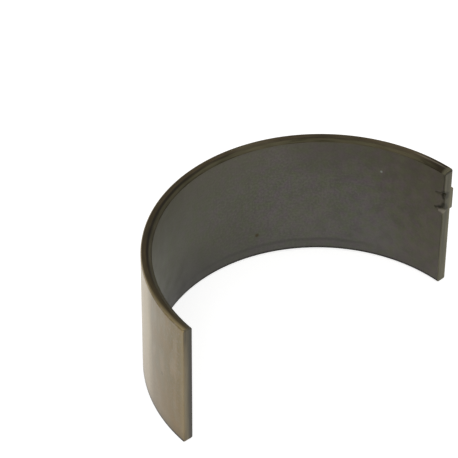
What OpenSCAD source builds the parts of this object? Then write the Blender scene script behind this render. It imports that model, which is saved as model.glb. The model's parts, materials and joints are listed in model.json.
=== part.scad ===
// Half-shell plain bearing for the big end of a connecting rod, in its free, sprung-open state.
// The bearing axis is Z, and the origin lies on it at the middle of the shell's width.
// The crown points along +Y. The two joint faces look along -Y, the one with the tang at the +X end.

/* [Shell] */
// Diameter of the housing bore that the shell is pressed into
housing_d = 48; // [36:0.5:96]
// Wall thickness, steel back and lining together
wall = 1.5; // [1.2:0.05:3]
// Width of the shell along its axis
shell_w = 20; // [12:0.1:40]
// How much larger the free shell's diameter is than the housing bore
free_spread = 0.82; // [0:0.02:2]

/* [Edges] */
// How far the chamfer at both sides of the shell cuts into the wall from the lining
chamfer_depth = 0.5; // [0.2:0.05:0.8]
// Width of that chamfer along the bearing axis
chamfer_w = 0.35; // [0.1:0.05:0.8]
// Radius of the rounded edge of the back at both sides of the shell
back_round = 0.15; // [0.05:0.05:0.3]
// Edge break on the lining along each joint face
lining_break = 0.1; // [0.05:0.05:0.4]
// Edge break on the back along each joint face
back_break = 0.05; // [0.05:0.05:0.4]
// Dressed edge where each joint face meets the sides of the shell
side_break = 0.2; // [0.05:0.05:0.5]

/* [Locating tang] */
// Distance from the upper side of the shell to the tang
tang_inset = 3.55; // [1:0.05:8]
// Width of the tang along the bearing axis
tang_w = 3.5; // [2:0.1:6]
// How far the tang stands proud of the back
tang_h = 0.4; // [0.2:0.05:1]
// Length of the tang's flat top, from the joint face along the back
tang_top = 1.3; // [0.5:0.1:3]
// Length of the slope that runs the tang out into the back
tang_slope = 1.1; // [0.4:0.1:3]

/* [Punched notch] */
// Depth of the notch's floor in the lining at the joint face, behind the tang
notch_depth = 0.3; // [0.1:0.05:0.6]
// Length of the notch along the lining, from the joint face
notch_len = 1.7; // [0.8:0.1:4]
// How much deeper the sheared groove along each side of the notch is than its floor
shear_depth = 0.3; // [0.05:0.05:0.5]
// How far inside the tang's side the bottom of each sheared groove lies
shear_inset = 0.4; // [0.1:0.05:0.6]

/* [Hidden] */
$fn = 240;
// How far a cutting shape runs past the faces that it cuts
overcut = 0.5;

// Free state: the strip keeps the length that fills half the housing bore, on a larger radius
free_d = housing_d + free_spread;
back_r = free_d / 2;
lining_r = back_r - wall;
half_angle = 90 * housing_d / free_d;

// The tang and its notch share one centre plane across the bearing axis
tang_mid_z = shell_w / 2 - tang_inset - tang_w / 2;
groove_z = tang_w / 2 - shear_inset;
groove_depth = notch_depth + shear_depth;

// Distance from the bearing axis, along the joint face, of a point on a round surface
// that lies the given run in from the joint face
function surface_at(r, run) = sqrt(r * r - run * run);

// Section of the wall as it comes off the strip: radius along X, bearing axis along Y
module wall_section() {
    half_w = shell_w / 2;
    round_r = back_r - back_round;
    round_z = half_w - back_round;
    polygon([
        [lining_r, -half_w + chamfer_w],
        [lining_r + chamfer_depth, -half_w],
        [round_r, -half_w],
        [back_r, -round_z],
        [back_r, round_z],
        [round_r, half_w],
        [lining_r + chamfer_depth, half_w],
        [lining_r, half_w - chamfer_w]
    ]);
    for (side = [-1, 1])
        translate([round_r, side * round_z])
            circle(r = back_round);
}

// The strip bent to the free radius, cut square at both joint faces
module bent_strip() {
    rotate([0, 0, 90 - half_angle])
        rotate_extrude(angle = 2 * half_angle)
            wall_section();
}

// Puts a shape at the tang's joint face: X runs out along the face, Y into the shell
module at_tang_joint() {
    rotate([0, 0, 90 - half_angle])
        children();
}

// Puts a shape at both joint faces, the second as a mirror image of the first
module at_both_joints() {
    at_tang_joint()
        children();
    mirror([1, 0, 0])
        at_tang_joint()
            children();
}

// What a bevel takes off the edge at radius r of a joint face: outward is 1 at the back, -1 at the lining
module joint_edge_cut(r, bevel, outward) {
    clear_r = r + outward * overcut;
    reach = bevel + overcut;
    linear_extrude(height = shell_w + 2 * overcut, center = true)
        polygon([
            [clear_r, -overcut],
            [r - outward * reach, -overcut],
            [clear_r, reach]
        ]);
}

// What a bevel takes off the edge where a joint face meets the upper side of the shell
module side_edge_cut() {
    clear_z = shell_w / 2 + overcut;
    reach = side_break + overcut;
    rotate([90, 0, 90])
        linear_extrude(height = back_r + overcut)
            polygon([
                [-overcut, clear_z],
                [-overcut, clear_z - overcut - reach],
                [reach, clear_z]
            ]);
}

// The strip with all four edges of its joint faces dressed
module dressed_strip() {
    difference() {
        bent_strip();
        at_both_joints() {
            joint_edge_cut(lining_r, lining_break, -1);
            joint_edge_cut(back_r, back_break, 1);
            side_edge_cut();
            mirror([0, 0, 1])
                side_edge_cut();
        }
    }
}

// The metal that the punch pushes out of the back: a flat top and a slope down to the back
module tang() {
    root_r = back_r - wall / 2;
    run_out = tang_top + tang_slope;
    translate([0, 0, tang_mid_z])
        linear_extrude(height = tang_w, center = true)
            polygon([
                [root_r, 0],
                [back_r + tang_h, 0],
                [surface_at(back_r, tang_top) + tang_h, tang_top],
                [surface_at(back_r, run_out), run_out],
                [root_r, run_out]
            ]);
}

// The ramp that the punch leaves in the lining, deepest at the joint face
module notch_floor() {
    linear_extrude(height = 2 * groove_z, center = true)
        polygon([
            [lining_r - overcut, -overcut],
            [lining_r + notch_depth, -overcut],
            [lining_r + notch_depth, 0],
            [surface_at(lining_r, notch_len), notch_len],
            [lining_r - overcut, notch_len]
        ]);
}

// The sheared groove along one side of the notch: a V that rises out of the lining at the end of the ramp
module shear_groove() {
    start_r = lining_r + groove_depth;
    rise = start_r - surface_at(lining_r, notch_len);
    opening = groove_depth + overcut;
    translate([start_r, 0, groove_z])
        rotate([-90, 0, atan2(rise, notch_len)])
            translate([0, 0, -overcut])
                linear_extrude(height = norm([rise, notch_len]) + overcut)
                    polygon([
                        [0, 0],
                        [-opening, opening],
                        [-opening, -opening]
                    ]);
}

module notch_cut() {
    translate([0, 0, tang_mid_z]) {
        notch_floor();
        shear_groove();
        mirror([0, 0, 1])
            shear_groove();
    }
}

module bearing_shell() {
    color("#5f5c50")
        difference() {
            union() {
                dressed_strip();
                at_tang_joint()
                    tang();
            }
            at_tang_joint()
                notch_cut();
        }
}

bearing_shell();
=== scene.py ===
# %% [markdown]
# # An engine bearing shell
#
# A bearing shell is one half of the plain bearing in which a connecting rod turns on its crankpin.
# It is a strip of steel with a thin, soft metal lining bonded to it, bent to half a circle.
# A small tang is pressed out of one end, and locates the shell in its housing.
# The construction model holds the true sizes. It comes first, and everything is drawn around it.

# %% Load the construction model
import json
import math
from collections import namedtuple
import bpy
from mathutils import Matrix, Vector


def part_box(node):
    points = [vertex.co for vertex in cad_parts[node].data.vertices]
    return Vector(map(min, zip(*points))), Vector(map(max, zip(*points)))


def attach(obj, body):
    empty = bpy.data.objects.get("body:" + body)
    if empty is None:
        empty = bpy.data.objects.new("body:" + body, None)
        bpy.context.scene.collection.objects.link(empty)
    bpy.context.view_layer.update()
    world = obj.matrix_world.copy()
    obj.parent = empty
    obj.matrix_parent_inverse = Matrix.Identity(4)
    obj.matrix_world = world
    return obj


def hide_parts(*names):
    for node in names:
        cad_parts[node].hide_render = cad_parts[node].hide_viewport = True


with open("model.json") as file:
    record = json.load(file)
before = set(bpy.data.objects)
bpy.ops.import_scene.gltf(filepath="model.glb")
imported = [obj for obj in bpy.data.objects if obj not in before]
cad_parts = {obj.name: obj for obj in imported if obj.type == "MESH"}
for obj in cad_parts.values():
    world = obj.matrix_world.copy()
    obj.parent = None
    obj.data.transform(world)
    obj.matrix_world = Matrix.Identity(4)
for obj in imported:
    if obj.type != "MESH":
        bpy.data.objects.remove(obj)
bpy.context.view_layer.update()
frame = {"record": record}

from types import SimpleNamespace

import bpy
import numpy as np
from mathutils import Matrix, Vector

MM = 0.001

# %% [markdown]
# ## The sizes of the strip
#
# The main sizes could be written here again. They are read from the construction model instead,
# so that the drawn shell can't drift away from it.
# The mounts give the radii of lining and back, the place of the tang and the angle of its joint face.
# The small sizes, such as chamfers, are written in millimetres, as on a workshop drawing.
# A place on the shell is given as on the flat strip: along, from the tang's joint face, and across.

# %% Read the main sizes, in millimetres
NODE = "bearing_shell"
mounts = {mount["name"]: mount for mount in frame["record"]["mounts"]}
lining_r = mounts["journal"]["dims"]["r_mm"]
back_r = mounts["housing_seat"]["dims"]["r_mm"]
wall = back_r - lining_r
middle_r = (lining_r + back_r) / 2
half_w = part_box(NODE)[1].z / MM

tang_x, tang_y, tang_z = [place / MM for place in mounts["locating_tang"]["pos_m"]]
tang_h = math.hypot(tang_x, tang_y) - back_r
joint_angle = math.atan2(tang_y, tang_x)
strip_len = (math.pi - 2 * joint_angle) * middle_r
print(f"strip {strip_len:.2f} x {2 * half_w:.2f} x {wall:.2f} mm, tang {tang_h:.2f} mm high")

# %% Write down the small sizes, in millimetres
chamfer_depth = 0.5
chamfer_w = 0.35
back_round = 0.15
lining_break = 0.1
back_break = 0.05
side_break = 0.2
# What is sharp on the construction model is rounded by this much, so that it catches the light
edge_round = 0.04
# The construction model's round back is made of flats, which lie up to this far inside the true round
flat_gap = 0.006

tang_w = 3.5
tang_top = 1.3
tang_slope = 1.1
notch_depth = 0.3
notch_len = 1.7
groove_depth = 0.6
groove_z = 1.35
print(f"tang {tang_w} mm wide, notch {notch_len} mm long")

# %% [markdown]
# ## The form of the strip
#
# The shell could be cut out of a turned ring with Boolean modifiers and bevelled afterwards.
# That leaves long thin faces round the notch, which shade badly on bright metal.
# So the strip is drawn as two height fields over its flat plan, one for the lining and one for the back.
# Each says how far the surface lies from its plain radius.
# Every bevel or press mark is then a short formula, and a smooth maximum joins two of them.

# %% Formulas for edges and creases
sharp_crease = 0.02
soft_crease = 0.03
pressed_crease = 0.04


def smooth_max(a, b, blend):
    """The larger of a and b, with the crease between them rounded off."""
    return (a + b + np.sqrt((a - b) ** 2 + blend**2)) / 2


def smooth_min(a, b, blend):
    """The smaller of a and b, with the crease between them rounded off."""
    return -smooth_max(-a, -b, blend)


def quarter_round(inset, radius):
    """How much a rounded edge takes off the surface, at a distance in from the edge."""
    reach = np.clip(1 - inset / radius, 0, 1)
    return radius * (1 - np.sqrt(1 - reach**2))


def from_joint(along):
    """Distance to the nearer joint face."""
    return np.minimum(along, strip_len - along)


print(f"a rounded edge takes off {float(quarter_round(0.0, edge_round)):.2f} mm at its corner")

# %% Formulas for the press marks
wall_steepness = 6
side_steepness = 10


def notch_sunk(along, across):
    """Depth of the punched notch: a ramp, deepest at the joint, and a sheared V groove along each side."""
    beside = np.abs(across - tang_z)
    run_out = 1 - along / notch_len
    floor = notch_depth * run_out - wall_steepness * np.maximum(0, beside - groove_z)
    groove = groove_depth * run_out - np.abs(beside - groove_z)
    return smooth_max(floor, groove, soft_crease)


def tang_raised(along, across):
    """Height of the tang on the back: a flat top with a slope behind it, and sheared sides."""
    top = tang_h * np.minimum(1, (tang_top + tang_slope - along) / tang_slope)
    sides = side_steepness * (tang_w / 2 - np.abs(across - tang_z))
    return smooth_min(top, sides, pressed_crease)


print(f"notch floor at the joint face: {float(notch_sunk(0.0, tang_z)):.3f} mm deep")

# %% [markdown]
# ## Lines along and across the strip
#
# A height field is only as fine as the lines it is drawn on. An even grid would need far too many of them.
# So the lines lie close together where the form turns quickly, at the edges and the tang, and wide apart
# elsewhere. That keeps the mesh to tens of thousands of faces, and each rounded edge has faces of its own.

# %% Choose the lines along the strip
round_shares = np.array([0, 0.03, 0.12, 0.3, 0.6, 1])
bevel_end = 0.5
press_end = 2.8
plain_start = 2.9
bevel_step = 0.04
press_step = 0.06
along_step = 0.45

bevel_lines = np.arange(2 * bevel_step, bevel_end, bevel_step)
end_lines = np.concatenate([edge_round * round_shares, bevel_lines])
tang_lines = np.arange(bevel_end, press_end, press_step)
plain_along = np.arange(plain_start, strip_len - bevel_end, along_step)
along_lines = np.concatenate([end_lines, tang_lines, plain_along, strip_len - end_lines[::-1]])
print(len(along_lines), "lines along")

# %% Choose the lines across the strip and through the wall
across_step = 0.4
plain_inset = 0.6
notch_reach = 2.1
shear_reach = 0.06
shear_step = 0.02

side_lines = np.unique(np.concatenate([end_lines, back_round * round_shares[2:]]).round(4))
notch_lines = np.arange(press_step / 2, notch_reach, press_step)
shear_lines = tang_w / 2 + np.arange(-shear_reach, shear_reach / 2, shear_step)
beside_tang = np.unique(np.concatenate([notch_lines, shear_lines]).round(3))
plain_across = np.arange(-half_w + plain_inset, half_w - bevel_end, across_step)
clear_of_notch = np.abs(plain_across - tang_z) > notch_reach
across_lines = np.sort(
    np.concatenate([
        side_lines - half_w,
        plain_across[clear_of_notch],
        tang_z - beside_tang,
        tang_z + beside_tang,
        half_w - side_lines,
    ])
)
wall_shares = np.array([0, 0.03, 0.08, 0.14, 0.2, 0.4, 0.6, 0.8, 0.95, 1])
print(len(across_lines), "lines across,", len(wall_shares), "through the wall")

# %% [markdown]
# ## The two height fields
#
# The lining's field holds its chamfers, the edge breaks at the joint faces and the notch.
# The back's field holds the tang, its own edge breaks and the round along its sides.
# The corners where a joint face meets a side are dressed too. A height can't show that cut, so the outermost
# lines are drawn in a little towards the middle of the strip, which makes it a true slanted face.

# %% Draw in the corners
along_grid, across_grid = np.meshgrid(along_lines, across_lines, indexing="ij")
end_inset = from_joint(along_grid)
side_inset = half_w - np.abs(across_grid)
end_round = quarter_round(end_inset, edge_round)

pull_reach = 1.0
pull = smooth_max(side_break - end_inset, 0, soft_crease) + end_round
across_drawn = across_grid - np.sign(across_grid) * pull * np.clip(1 - side_inset / pull_reach, 0, 1)
side_left = half_w - np.abs(across_drawn)
print(f"corners drawn in by {pull.max():.2f} mm")

# %% Work out both surfaces
chamfer_cut = chamfer_depth * (1 - side_left / chamfer_w)
lining_cut = smooth_max(lining_break - end_inset, chamfer_cut, soft_crease)
lining_cut = smooth_max(lining_cut, notch_sunk(along_grid, across_drawn), soft_crease)
lining_cut = smooth_max(lining_cut, 0, sharp_crease)
inner = lining_r + lining_cut + end_round + quarter_round(side_inset, edge_round)

back_cut = smooth_max(back_break - end_inset, 0, sharp_crease)
back_rise = smooth_max(-back_cut, tang_raised(along_grid, across_drawn), soft_crease)
outer = back_r - flat_gap + back_rise - end_round - quarter_round(side_inset, back_round)
print(f"wall from {(outer - inner).min():.2f} to {(outer - inner).max():.2f} mm")

# %% [markdown]
# ## The mesh
#
# The strip has six sides, like a bent box: lining, back, two side faces and two joint faces.
# Six loose sheets could be set edge to edge, but their seams would show as hard lines.
# So the sheets share their points: each point is made once, when a face first asks for it.
# The mesh then has no open edge, and the shading runs on round every rounded edge.

# %% Points and faces by number
LINING, BACK, SIDE, JOINT = range(4)
points = {}
flat_places = []
faces = []
face_kinds = []


def point(row, column, step):
    """Number of the point on a line along, a line across and a share of the wall."""
    key = (row, column, step)
    if key not in points:
        points[key] = len(flat_places)
        lining_here = inner[row, column]
        below = (outer[row, column] - lining_here) * wall_shares[step]
        flat_places.append((along_lines[row], across_drawn[row, column], lining_here + below, below))
    return points[key]


def add_face(kind, corners):
    """Adds a face of one kind between points, each given as row, column and step."""
    faces.append([point(*corner) for corner in corners])
    face_kinds.append(kind)


last_row = len(along_lines) - 1
last_column = len(across_lines) - 1
last_step = len(wall_shares) - 1
print(last_row * last_column, "fields on the lining, and as many on the back")

# %% Make the faces
row_inset = from_joint((along_lines[1:] + along_lines[:-1]) / 2)
column_inset = half_w - np.abs((across_lines[1:] + across_lines[:-1]) / 2)

for row in range(last_row):
    for column in range(last_column):
        field = [(row, column), (row, column + 1), (row + 1, column + 1), (row + 1, column)]
        plain_kind = SIDE if column_inset[column] < chamfer_w else LINING
        lining_kind = JOINT if row_inset[row] < lining_break else plain_kind
        back_kind = JOINT if row_inset[row] < back_break else BACK
        add_face(lining_kind, [(*corner, 0) for corner in field])
        add_face(back_kind, [(*corner, last_step) for corner in reversed(field)])
    side_kind = JOINT if row_inset[row] < side_break else SIDE
    for step in range(last_step):
        field = [(row, step), (row + 1, step), (row + 1, step + 1), (row, step + 1)]
        add_face(side_kind, [(at, 0, deep) for at, deep in field])
        add_face(side_kind, [(at, last_column, deep) for at, deep in reversed(field)])
for column in range(last_column):
    for step in range(last_step):
        field = [(column, step), (column, step + 1), (column + 1, step + 1), (column + 1, step)]
        add_face(JOINT, [(0, *corner) for corner in field])
        add_face(JOINT, [(last_row, *corner) for corner in reversed(field)])
print(len(flat_places), "points,", len(faces), "faces")

# %% [markdown]
# ## Bending the strip
#
# On the real shell, a press bends the flat strip. A Simple Deform modifier could bend it here,
# but it would turn round the middle of the mesh, and not to a radius that is known beforehand.
# So the bend is written out: the length along the strip turns into an angle round the bearing axis.
# Each point keeps its place on the flat strip as an attribute.
# The finishes are laid out by that place, in millimetres.

# %% Bend it
along, across, radius, below_lining = np.array(flat_places).T
turn = joint_angle + along / middle_r
bent = np.stack([radius * np.cos(turn), radius * np.sin(turn), across], axis=1) * MM

mesh = bpy.data.meshes.new("bearing_shell_strip")
mesh.from_pydata(bent.tolist(), [], faces)
mesh.polygons.foreach_set("material_index", face_kinds)
mesh.polygons.foreach_set("use_smooth", [True] * len(faces))
strip_place = mesh.attributes.new("strip_mm", "FLOAT_VECTOR", "POINT")
strip_place.data.foreach_set("vector", np.stack([along, across, radius - lining_r], axis=1).ravel())
mesh.validate()

shell = bpy.data.objects.new("shell_strip", mesh)
bpy.context.scene.collection.objects.link(shell)
print(shell.name, "with", len(mesh.vertices), "points")

# %% [markdown]
# ## Painted shade and a painted highlight round the notch
#
# Painted shade darkens the sheared grooves of the notch, the joint face beside them and the inner edge of the
# joint face.
# The lower lip of the notch gets a painted highlight.
# Vertex paint could show both, but it is painted by hand in a window. Here each is a list of brush strokes.
# They run over the lining and the joint face, folded out flat into one plane.
# Its first number is the distance from the edge between them, below nought on the joint face.
# Its second is the distance from the tang's middle.

# %% Brush strokes
Stroke = namedtuple("Stroke", "start end half_width strength")
folded_out = np.stack([along - below_lining, across - tang_z], axis=1)


def paint(strokes):
    """How far strokes cover each point, from 0 to 1. A stroke is half there at its half width."""
    cover = np.zeros(len(folded_out))
    for stroke in strokes:
        start = np.array(stroke.start)
        run = np.array(stroke.end) - start
        nearest = np.clip((folded_out - start) @ run / (run @ run), 0, 1)
        away = np.linalg.norm(folded_out - start - nearest[:, None] * run, axis=1)
        covered = np.clip(0.5 + (stroke.half_width - away) / stroke.half_width, 0, 1)
        cover = np.maximum(cover, stroke.strength * covered)
    return cover


print("strokes are laid over", len(folded_out), "points")

# %% Lay the strokes
# Painted shade in the notch's two grooves and on the joint face beside them
upper_groove = [
    Stroke((0.10, 1.95), (0.42, 1.50), 0.20, 0.80),
    Stroke((0.42, 1.50), (0.38, 1.00), 0.24, 0.95),
    Stroke((0.38, 1.00), (0.22, 0.60), 0.22, 0.90),
    Stroke((0.55, 1.25), (1.40, 1.28), 0.26, 0.45),
    Stroke((0.00, 1.45), (-0.30, 0.80), 0.40, 0.70),
]
lower_groove = [
    Stroke((0.16, -0.35), (0.42, -0.95), 0.25, 0.90),
    Stroke((0.44, -1.00), (0.85, -1.20), 0.28, 1.00),
    Stroke((0.85, -1.22), (1.45, -1.34), 0.18, 0.75),
    Stroke((0.00, -0.60), (-0.20, -1.15), 0.34, 0.70),
]
# Painted shade along the inner edge of the joint face
inner_edge = [
    Stroke((0.08, 0.60), (0.08, -0.40), 0.20, 0.50),
    Stroke((0.13, 2.10), (0.13, 5.05), 0.10, 0.60),
    Stroke((0.13, -2.20), (0.13, -10.0), 0.10, 0.30),
]
# A painted highlight on the notch's lower lip
lit_lip = [
    Stroke((-0.05, -1.65), (0.25, -1.68), 0.20, 0.65),
    Stroke((0.25, -1.68), (0.75, -1.66), 0.16, 0.50),
]
for name, strokes in (("dirt", upper_groove + lower_groove + inner_edge), ("bare", lit_lip)):
    mesh.attributes.new(name, "FLOAT", "POINT").data.foreach_set("value", paint(strokes))
    print(len(strokes), "strokes of", name)

# %% [markdown]
# ## Tools for the finishes
#
# A finish could be an image, painted on the unwrapped shell. Here it is built from shader nodes,
# so it has no pixels, and its sizes are given in millimetres.
# Colours are written as they look on a screen, as sRGB hex values. Blender mixes light in linear values,
# so one function turns the first into the second. Another adds a shader node with its settings and links.

# %% Colours and nodes
def linear(hex_colour):
    """An sRGB hex colour as linear RGBA."""
    parts = [int(hex_colour[at : at + 2], 16) / 255 for at in (1, 3, 5)]
    return [part / 12.92 if part <= 0.04045 else ((part + 0.055) / 1.055) ** 2.4 for part in parts] + [1]


def node(tree, kind, out, inputs=None, stops=(), **settings):
    """Adds a node and gives one of its outputs. Inputs are values or sockets, and stops colour a ramp."""
    made = tree.nodes.new(kind)
    for name, value in settings.items():
        setattr(made, name, value)
    for name, value in (inputs or {}).items():
        if isinstance(value, bpy.types.NodeSocket):
            tree.links.new(value, made.inputs[name])
        else:
            made.inputs[name].default_value = value
    for number, (place, colour) in enumerate(stops):
        ramp = made.color_ramp.elements
        stop = ramp[number] if number < len(ramp) else ramp.new(place)
        stop.position = place
        stop.color = linear(colour)
    return made.outputs[out]


print("steel grey #808080 is", [round(part, 3) for part in linear("#808080")], "in linear light")

# %% [markdown]
# ## Marks on a surface
#
# Real metal is never one colour. A finish here is a base colour with a list of marks laid over it in turn.
# A mark follows a value: a length on the strip, a noise, the distance from a line or a spot, or an attribute.
# It starts at one value and is at its full strength at another. A noise stays round its middle value,
# so a mark that follows one starts there, and is at its full strength where the noise is low or high.
# The strength can be a fade of its own, so that a line, for one, runs out along the strip.

# %% A finish and what its marks follow
Fade = namedtuple("Fade", "value start full strength")
Mark = namedtuple("Mark", "value start full strength colour")
# Most of a noise lies between the low and the high value
LOW, MID, HIGH = 0.3, 0.5, 0.7
noise_detail = 3


def new_finish(name, **pattern_mm):
    """A material with its shader, the place on the strip, and one noise for each pattern size."""
    material = bpy.data.materials.new(name)
    material.use_nodes = True
    tree = material.node_tree
    place = node(tree, "ShaderNodeAttribute", "Vector", attribute_name="strip_mm")
    finish = SimpleNamespace(material=material, tree=tree, shader=tree.nodes["Principled BSDF"], place=place)
    for length, axis in (("along", "X"), ("across", "Y"), ("depth", "Z")):
        setattr(finish, length, node(tree, "ShaderNodeSeparateXYZ", axis, {"Vector": place}))
    for pattern, size in pattern_mm.items():
        scale = [1 / part for part in size]
        stretched = node(tree, "ShaderNodeMapping", "Vector", {"Vector": place, "Scale": scale})
        fineness = {"Vector": stretched, "Scale": 1, "Detail": noise_detail}
        setattr(finish, pattern, node(tree, "ShaderNodeTexNoise", "Fac", fineness))
    return finish


def followed(finish, value):
    """A mark's value as a socket. A name is an attribute, a pair a length and a line, a triple a spot."""
    if isinstance(value, str):
        return node(finish.tree, "ShaderNodeAttribute", "Fac", attribute_name=value)
    if not isinstance(value, tuple):
        return value
    if len(value) == 3:
        ends = {0: finish.place, 1: value}
        return node(finish.tree, "ShaderNodeVectorMath", "Value", ends, operation="DISTANCE")
    offset = node(finish.tree, "ShaderNodeMath", "Value", dict(enumerate(value)), operation="SUBTRACT")
    return node(finish.tree, "ShaderNodeMath", "Value", {0: offset}, operation="ABSOLUTE")


print("a mark has", ", ".join(Mark._fields))

# %% Laying marks and setting the surface
def cover(finish, mark):
    """How far a mark or a fade covers the surface, as a socket."""
    strength = cover(finish, mark.strength) if isinstance(mark.strength, Fade) else mark.strength
    limits = {"Value": followed(finish, mark.value), "To Max": strength}
    limits.update({"From Min": mark.start, "From Max": mark.full})
    return node(finish.tree, "ShaderNodeMapRange", "Result", limits)


def lay_marks(finish, tone, marks):
    """Lays the marks over a base colour in turn, and links the result to the shader."""
    for mark in marks:
        layers = {"Factor": cover(finish, mark), "A": tone, "B": linear(mark.colour)}
        tone = node(finish.tree, "ShaderNodeMix", "Result", layers, data_type="RGBA")
    finish.tree.links.new(tone, finish.shader.inputs["Base Color"])
    print(finish.material.name, "with", len(marks), "marks")


def set_surface(finish, metallic, dull, roughness, relief, relief_mm):
    """Sets how metallic the finish is, and links roughness and a fine relief to two of its patterns."""
    smoothest, roughest = roughness
    limits = {"Value": dull, "From Min": LOW, "From Max": HIGH, "To Min": smoothest, "To Max": roughest}
    rough = node(finish.tree, "ShaderNodeMapRange", "Result", limits)
    bump = node(finish.tree, "ShaderNodeBump", "Normal", {"Height": relief, "Distance": relief_mm * MM})
    finish.tree.links.new(rough, finish.shader.inputs["Roughness"])
    finish.tree.links.new(bump, finish.shader.inputs["Normal"])
    finish.shader.inputs["Metallic"].default_value = metallic


# The notch's painted highlight and painted shade, on the lining and the joint face
notch_light_and_shade = [Mark("bare", 0, 1, 1, "#7c7769"), Mark("dirt", 0, 1, 1, "#171402")]
print("the worn notch has", len(notch_light_and_shade), "marks, on two of the finishes")

# %% [markdown]
# ## The lining
#
# The inside is a plated overlay of lead and tin, a few hundredths of a millimetre thick.
# It is soft and dull: a dark slate grey with faint olive and purple patches, and no clear reflection.
# The bore under it was broached along the axis, which leaves faint streaks across the strip.
# One noise alone would look like cloud, so noises of five sizes are laid over each other.
# The finest is the plating's grain. It is drawn some ten times as coarse as real,
# because finer grain would not show.

# %% Lead-tin overlay, plated
lining = new_finish(
    "lead_tin_overlay_plated",
    patches=(5.5, 5.5, 5.5),
    clouds=(2.2, 2.2, 2.2),
    tints=(1.3, 1.3, 1.3),
    streaks=(0.4, 3.0, 0.4),
    grain=(0.35, 0.35, 0.35),
)
plating = [
    Mark(lining.patches, MID, HIGH, 0.6, "#525440"),
    Mark(lining.patches, MID, LOW, 0.6, "#5c5556"),
    Mark(lining.clouds, MID, LOW, 0.5, "#44433b"),
    Mark(lining.clouds, MID, HIGH, 0.5, "#615f57"),
    Mark(lining.tints, MID, HIGH, 0.5, "#4f583a"),
    Mark(lining.tints, MID, LOW, 0.5, "#5b4d58"),
    Mark(lining.streaks, MID, LOW, 0.25, "#45433b"),
    Mark(lining.grain, MID, LOW, 0.33, "#3d3b35"),
    Mark(lining.grain, MID, HIGH, 0.33, "#68665e"),
]
print(len(plating), "marks for the plating")

# %% [markdown]
# ## Uneven plating, and painted light and shade
# A plating bath never coats a strip evenly. This lining is browner at the tang's end and more olive towards
# the plain end.
# Its patches show more near the tang, and a soft dark blotch lies near the tang.
# Painted shade and reflection darken two opposite corners and lighten the other two,
# and a few soft spots are painted light and shade as well.
# A thin, wavy line runs along near its lower side. Its lowest strip is painted near black as the shadow in
# the gap under its chamfer, and its upper edge is darker.
# A thin, wavy line runs along near its lower side, and both edges have darkened with oil.
# Each is a mark that follows the place on the strip, so it stays where it is from every side.

# %% Uneven plating, and painted light and shade
# A saddle for painted reflection and shade, which turns over at this distance along
light_saddle_middle = 24.0
middle_terms = {0: lining.along, 1: light_saddle_middle}
past_middle = node(lining.tree, "ShaderNodeMath", "Value", middle_terms, operation="SUBTRACT")
light_saddle_terms = {0: past_middle, 1: lining.across}
light_saddle = node(lining.tree, "ShaderNodeMath", "Value", light_saddle_terms, operation="MULTIPLY")
slant = 0.6
slant_terms = {0: lining.across, 1: slant, 2: lining.along}
slanting = node(lining.tree, "ShaderNodeMath", "Value", slant_terms, operation="MULTIPLY_ADD")
near_tang = Fade(lining.along, 24.0, 6.0, 0.4)
uneven = [
    # Painted shade and reflection: darker towards the lower corner at the plain end and the upper corner at
    # the tang's end
    Mark(light_saddle, 0, -170, 0.78, "#3d3a34"),
    Mark(light_saddle, 0, 150, 0.3, "#605e55"),
    Mark(lining.along, 14.0, 2.0, 0.5, "#534b37"),
    Mark(lining.along, 48.0, 62.0, 0.5, "#5e573a"),
    Mark(lining.along, 61.0, 70.0, 0.4, "#423c2c"),
    Mark(slanting, 9.0, -2.0, 0.35, "#433e37"),
    Mark(lining.along, 26.0, 44.0, 0.4, "#51523c"),
    # All but the dark blotch at 6 mm are painted reflection and shade: pale spots low towards the tang's end,
    # dark spots high towards the tang's end and low past the middle
    Mark((12, -4, 0), 8.0, 2.0, 0.2, "#56555a"),
    Mark((22, -5, 0), 8.0, 2.0, 0.15, "#65635b"),
    Mark((10, -7, 0), 5.0, 1.0, 0.3, "#66645f"),
    Mark((6, 0, 0), 4.5, 1.0, 0.25, "#3e3b33"),
    Mark((19, 9.5, 0), 7.0, 1.5, 0.45, "#3f3c36"),
    Mark((43, -11, 0), 10.0, 2.5, 0.65, "#3a3732"),
    Mark(lining.across, 3.0, half_w, 0.3, "#524b3b"),
    Mark(lining.across, -4.0, -half_w, 0.2, "#4f4f51"),
    Mark(lining.tints, MID, HIGH, near_tang, "#4f5338"),
    Mark(lining.tints, MID, LOW, near_tang, "#57494f"),
    Mark(lining.clouds, MID, LOW, near_tang, "#3f3b30"),
    Mark(lining.clouds, MID, HIGH, near_tang, "#605b4c"),
]
print(len(uneven), "marks for uneven plating")

# %% Edges and spots of the lining
waviness = 0.8
line_inset = 1.6
line_z = -half_w + line_inset + waviness
wave_terms = {0: lining.patches, 1: waviness, 2: lining.across}
wavy = node(lining.tree, "ShaderNodeMath", "Value", wave_terms, operation="MULTIPLY_ADD")
edges_and_spots = [
    Mark((wavy, line_z), 0.4, 0.1, Fade(lining.along, 9.0, 14.0, 0.4), "#3c3a37"),
    Mark(wavy, line_z, line_z - 0.2, 0.15, "#454340"),
    # Painted shadow: the lowest strip of the lining is near black, for the shadowed gap under its chamfer
    Mark(lining.across, -half_w + 0.75, -half_w + 0.5, 0.85, "#14120f"),
    Mark(lining.across, half_w - 0.8, half_w - 0.4, 0.35, "#4a4638"),
    Mark((28.5, -5.9, 0), 0.45, 0.15, 0.85, "#3a2f14"),
    Mark((10.4, 5.7, 0), 0.24, 0.08, 0.5, "#98a09a"),
]
lay_marks(lining, linear("#54524a"), plating + uneven + edges_and_spots + notch_light_and_shade)
set_surface(lining, 0.7, lining.clouds, (0.5, 0.6), lining.grain, 0.004)

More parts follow.
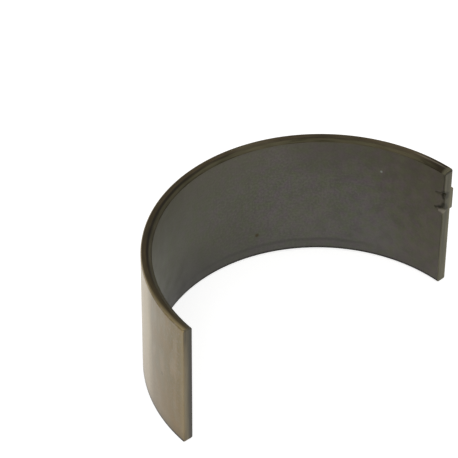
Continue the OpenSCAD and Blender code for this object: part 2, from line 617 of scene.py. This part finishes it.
# %% [markdown]
# ## The back
#
# The back is rolled steel with a thin flash of tin, which keeps it from rusting in its box.
# It is a warm grey with a satin sheen, mottled by fine spangles of tin and wider, warmer tints.
# Towards both ends it is painted darker and browner, a painted reflection of something dark beside one end,
# repeated at the other. The darker band starts along a ragged line, so the distance that it follows
# has some of the mottle added, and the mottle is stronger inside the band.
# The back is browner towards its lower side and darker near its lower edge. Its lowest strip is painted near
# black as the shadow where it meets the floor, and its upper edge is darker away from the plain end.

# %% Where the back is painted darker towards its ends
back = new_finish(
    "tin_flashed_steel_rolled",
    mottle=(1.5, 5.0, 1.5),
    spangles=(0.3, 0.4, 0.3),
    tints=(1.5, 3.0, 1.5),
)
half_len = strip_len / 2
raggedness = 2.0
shade_len = 8.7
shade_start = half_len - shade_len + raggedness / 2
shade_first = shade_start - 1.0
shade_full = shade_start + 0.8
from_crown = followed(back, (back.along, half_len))
shade_terms = {0: back.mottle, 1: raggedness, 2: from_crown}
shaded = node(back.tree, "ShaderNodeMath", "Value", shade_terms, operation="MULTIPLY_ADD")

faint_mottle = 0.08
strong_mottle = 0.24
mottle_range = {"Value": shaded, "From Min": shade_start, "From Max": shade_full}
mottle_range.update({"To Min": faint_mottle, "To Max": strong_mottle})
mottling = node(back.tree, "ShaderNodeMapRange", "Result", mottle_range)
print(f"both ends stained over {shade_len} mm, give or take {raggedness / 2} mm")

# %% Tin-flashed steel, rolled
lay_marks(
    back,
    linear("#a09275"),
    [
        # Painted reflection: both ends darker and browner, from a ragged line
        Mark(shaded, shade_first, shade_full, 1, "#726549"),
        Mark(back.mottle, MID, LOW, mottling, "#62553b"),
        Mark(back.mottle, MID, HIGH, mottling, "#9b958a"),
        Mark(back.spangles, MID, LOW, 0.2, "#655c3b"),
        Mark(back.spangles, MID, HIGH, 0.2, "#a29ca2"),
        Mark(back.tints, MID, HIGH, mottling, "#896d4a"),
        Mark(back.tints, MID, LOW, mottling, "#717667"),
        Mark(back.across, 1.0, -half_w, 0.5, "#75603f"),
        Mark(from_crown, half_len - 1.0, half_len - 0.3, 0.5, "#817354"),
        Mark(back.across, half_w - 0.8, half_w - 0.1, Fade(back.along, 68.0, 56.0, 0.6), "#574e3b"),
        Mark(back.across, -half_w + 2.0, -half_w + 0.6, 0.3, "#534935"),
        # Painted shadow: the lowest strip of the back is near black, where it meets the floor
        Mark(back.across, -half_w + 0.6, -half_w + 0.25, 0.9, "#1d1a15"),
        Mark((68.1, -1.4, wall), 0.4, 0.1, 0.5, "#534932"),
    ],
)
set_surface(back, 1, back.spangles, (0.28, 0.38), back.spangles, 0.002)

# %% [markdown]
# ## The side faces
#
# The sides were faced to width, which cuts through steel and lining and leaves both bare.
# They are dark, and darkest in the crease at the lining's chamfer,
# and the steel land outside it is a dark brown that gets lighter towards the plain end.
# Near the tang there is a thin light line, and the last bit of the side is a paler olive.
# The edge is too narrow for separate pieces of metal, so one ramp colours it by the depth through the wall,
# and smears that are long and thin, as the cutter's marks are, run along it.

# %% Faced edge of the bonded strip
faced = new_finish("bimetal_strip_faced", smears=(2.5, 0.25, 0.25), clouds=(7.0, 7.0, 7.0))
section = [
    (0.0, "#332f20"),
    (0.08, "#4a4735"),
    (0.24, "#4a4735"),
    (0.38, "#352e1d"),
    (0.58, "#403620"),
    (0.8, "#463b26"),
    (0.93, "#1b1710"),
]
faced_range = {"Value": faced.depth, "From Max": wall}
faced_share = node(faced.tree, "ShaderNodeMapRange", "Result", faced_range)
faced_tone = node(faced.tree, "ShaderNodeValToRGB", "Color", {"Fac": faced_share}, stops=section)
print(len(section), "colours through the wall")

# %% Marks on the faced edge
crease_depth = chamfer_depth + 0.1
light_line_depth = 0.95
land_slant = 0.035
land_terms = {0: faced.along, 1: land_slant, 2: faced.depth}
land = node(faced.tree, "ShaderNodeMath", "Value", land_terms, operation="MULTIPLY_ADD")
lay_marks(
    faced,
    faced_tone,
    [
        Mark(faced.clouds, MID, LOW, 0.3, "#241d10"),
        Mark(faced.clouds, MID, HIGH, 0.25, "#5a5140"),
        Mark(faced.smears, MID, LOW, 0.5, "#201a0e"),
        Mark(faced.smears, MID, HIGH, 0.4, "#5d5443"),
        Mark((faced.along, 8.5), 5.0, 2.5, 0.3, "#5c533f"),
        Mark((faced.along, 19.0), 7.0, 3.5, 0.25, "#2c2717"),
        Mark((faced.along, 29.0), 4.0, 2.0, 0.3, "#5e5744"),
        Mark((faced.along, 48.0), 12.0, 6.0, 0.3, "#221c10"),
        Mark((faced.along, 64.0), 8.0, 4.0, 0.35, "#271f06"),
        Mark(faced.along, 5.0, 1.5, 0.75, "#191006"),
        Mark(faced.along, 0.9, 0.45, 0.45, "#76735e"),
        Mark((faced.depth, crease_depth), 0.24, 0.06, Fade((faced.along, 50.0), 18.0, 8.0, 0.8), "#120d04"),
        Mark(land, 3.3, 4.3, 1, "#ae9d74"),
        Mark((faced.depth, light_line_depth), 0.14, 0.05, Fade((faced.along, 3.2), 3.0, 1.5, 0.4), "#8a8272"),
    ],
)
set_surface(faced, 0.9, faced.smears, (0.45, 0.55), faced.smears, 0.003)

# %% [markdown]
# ## The joint faces
#
# Each end of the strip was broached square, so that two shells meet flat.
# The steel is tan at the back's edge and slate grey at the lining, and the plain end is the browner one.
# Two materials could do for the two ends. One does here: it mixes two ramps by the place along the strip.
# The broach runs along the bearing axis and leaves stripes that way. They are drawn about five times
# as wide as real ones, because finer ones would not show.
# At the tang's end, the dressed upper corner is a little paler, with a dark line below it.

# %% Broached joint face
broached = new_finish("bimetal_strip_broached", stripes=(0.4, 6.0, 0.4))
broached_range = {"Value": broached.depth, "From Max": wall}
broached_share = node(broached.tree, "ShaderNodeMapRange", "Result", broached_range)
tang_end = [(0.0, "#504d3b"), (0.5, "#514e3c"), (0.8, "#605c48"), (1, "#69644f")]
plain_end = [(0.0, "#45423d"), (0.35, "#4f4b43"), (0.55, "#615a4a"), (0.8, "#756a54"), (1, "#7f7156")]
which_end = {"Value": broached.along, "From Max": strip_len}
ends = {"Factor": node(broached.tree, "ShaderNodeMapRange", "Result", which_end)}
for layer, stops in (("A", tang_end), ("B", plain_end)):
    ends[layer] = node(broached.tree, "ShaderNodeValToRGB", "Color", {"Fac": broached_share}, stops=stops)
broached_tone = node(broached.tree, "ShaderNodeMix", "Result", ends, data_type="RGBA")
print(len(tang_end), "colours through the wall at the tang's end,", len(plain_end), "at the plain end")

# %% Stripes and corners of the joint faces
corner_z = half_w - side_break
corner_line_z = corner_z - 0.05
at_tang_end = Fade(broached.along, half_len, 0, 0.7)
lay_marks(
    broached,
    broached_tone,
    [
        Mark(broached.stripes, MID, LOW, 0.5, "#37342c"),
        Mark(broached.stripes, MID, HIGH, 0.3, "#8a8470"),
        Mark(broached.across, 3.0, half_w, 0.45, "#3a372d"),
        Mark(broached.across, corner_z, corner_z + 0.08, at_tang_end, "#787259"),
        Mark((broached.across, corner_line_z), 0.26, 0.1, at_tang_end, "#1b180a"),
        Mark((0, half_w - 0.1, wall - 0.1), 0.35, 0.15, 0.8, "#2b2a22"),
        # The notch's painted shade and highlight reach onto the joint face
        *notch_light_and_shade,
    ],
)
set_surface(broached, 0.7, broached.stripes, (0.45, 0.55), broached.stripes, 0.003)

# %% [markdown]
# ## The finished shell
#
# The faces already know which of the four finishes they take, so the finishes go on in the same order.
# The drawn shell then stands for the plain solid of the construction model and rides on its one body.

# %% Put the four finishes on the shell
for finish in (lining, back, faced, broached):
    mesh.materials.append(finish.material)
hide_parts(NODE)
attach(shell, "root")
print([material.name for material in mesh.materials])

# %% [markdown]
# ## The floor and the light
#
# The shell stands on its side on a sheet of pale paper in soft, even light, as in a light tent.
# More lamps would make the paper white, but they would bleach the shell too.
# So floor and world are lighter where the camera or a reflection sees them than as lights.

# %% The rays that see
def seen_rays(tree):
    """One for what the camera, a reflection or a view through glass sees, and nought for bounced light."""
    seen = node(tree, "ShaderNodeLightPath", "Is Camera Ray")
    for ray in ("Is Glossy Ray", "Is Transmission Ray"):
        other = node(tree, "ShaderNodeLightPath", ray)
        seen = node(tree, "ShaderNodeMath", "Value", {0: seen, 1: other}, operation="MAXIMUM")
    return seen


white = (1, 1, 1, 1)
floor_glow = 0.72
world_seen = 1
world_light = 0.6
print(f"the world is seen at {world_seen} and lights the shell at {world_light}")

# %% Floor
# Half the width of the sheet, in metres
floor_reach = 3.0
floor_z = -half_w * MM
quarters = ((-1, -1), (1, -1), (1, 1), (-1, 1))
corners = [(floor_reach * x, floor_reach * y, floor_z) for x, y in quarters]
floor_mesh = bpy.data.meshes.new("floor")
floor_mesh.from_pydata(corners, [], [(0, 1, 2, 3)])
floor = bpy.data.objects.new("floor", floor_mesh)
bpy.context.scene.collection.objects.link(floor)

paper = bpy.data.materials.new("matt_white_paper")
paper.use_nodes = True
sheet = paper.node_tree
matt = sheet.nodes["Principled BSDF"]
matt.inputs["Base Color"].default_value = linear("#d8d8d8")
matt.inputs["Roughness"].default_value = 0.9
matt.inputs["Specular IOR Level"].default_value = 0
matt.inputs["Emission Color"].default_value = white
glow = node(sheet, "ShaderNodeMath", "Value", {0: seen_rays(sheet), 1: floor_glow}, operation="MULTIPLY")
sheet.links.new(glow, matt.inputs["Emission Strength"])
floor_mesh.materials.append(paper)
print("floor at", round(floor_z / MM, 2), "mm")

# %% World and lamp
world = bpy.data.worlds.new("light_tent")
bpy.context.scene.world = world
world.use_nodes = True
tent = world.node_tree
background = tent.nodes["Background"]
background.inputs["Color"].default_value = white
levels = {"Value": seen_rays(tent), "To Min": world_light, "To Max": world_seen}
tent.links.new(node(tent, "ShaderNodeMapRange", "Result", levels), background.inputs["Strength"])

lamp_place = Vector((-0.3, -0.25, 0.3))
lamp_aim = Vector((0, 0.01, 0))
lamp_level = 2.0
lamp = bpy.data.lights.new("key_softbox", "AREA")
lamp.shape = "SQUARE"
lamp.size = 0.3
# The power goes with the lamp's area, so a larger lamp is as bright and not dimmer
lamp.energy = lamp_level * math.pi * lamp.size**2
softbox = bpy.data.objects.new("key_softbox", lamp)
softbox.location = lamp_place
softbox.rotation_euler = (lamp_aim - lamp_place).to_track_quat("-Z", "Y").to_euler()
bpy.context.scene.collection.objects.link(softbox)
print(f"{softbox.name} of {lamp.energy:.2f} W")

# %% [markdown]
# ## The camera
#
# The camera looks down on the shell from the left, through a long lens.
# It could be aimed with a Track To constraint. Its three axes are worked out here instead,
# because a slight roll has to be added to them.

# %% Place the camera
azimuth = math.radians(-42.204)
elevation = math.radians(40.812)
roll = math.radians(0.36)
distance = 377.93 * MM
aim = Vector((8.8, 28.754, -half_w)) * MM
focal_px = 2624.1
image_px = 458

level_back = Vector((math.sin(azimuth), -math.cos(azimuth), 0))
backward = math.cos(elevation) * level_back + Vector((0, 0, math.sin(elevation)))
level_right = Vector((math.cos(azimuth), math.sin(azimuth), 0))
level_up = backward.cross(level_right)
right = math.cos(roll) * level_right + math.sin(roll) * level_up
up = -math.sin(roll) * level_right + math.cos(roll) * level_up

lens = bpy.data.cameras.new("camera")
lens.sensor_width = 36
lens.lens = focal_px * lens.sensor_width / image_px
camera = bpy.data.objects.new("camera", lens)
facing = Matrix((right, up, backward)).transposed().to_4x4()
camera.matrix_world = Matrix.Translation(aim + distance * backward) @ facing
bpy.context.scene.collection.objects.link(camera)
bpy.context.scene.camera = camera
bpy.context.scene.view_settings.view_transform = "Standard"
print("camera at", [round(part / MM, 1) for part in camera.matrix_world.translation], "mm")
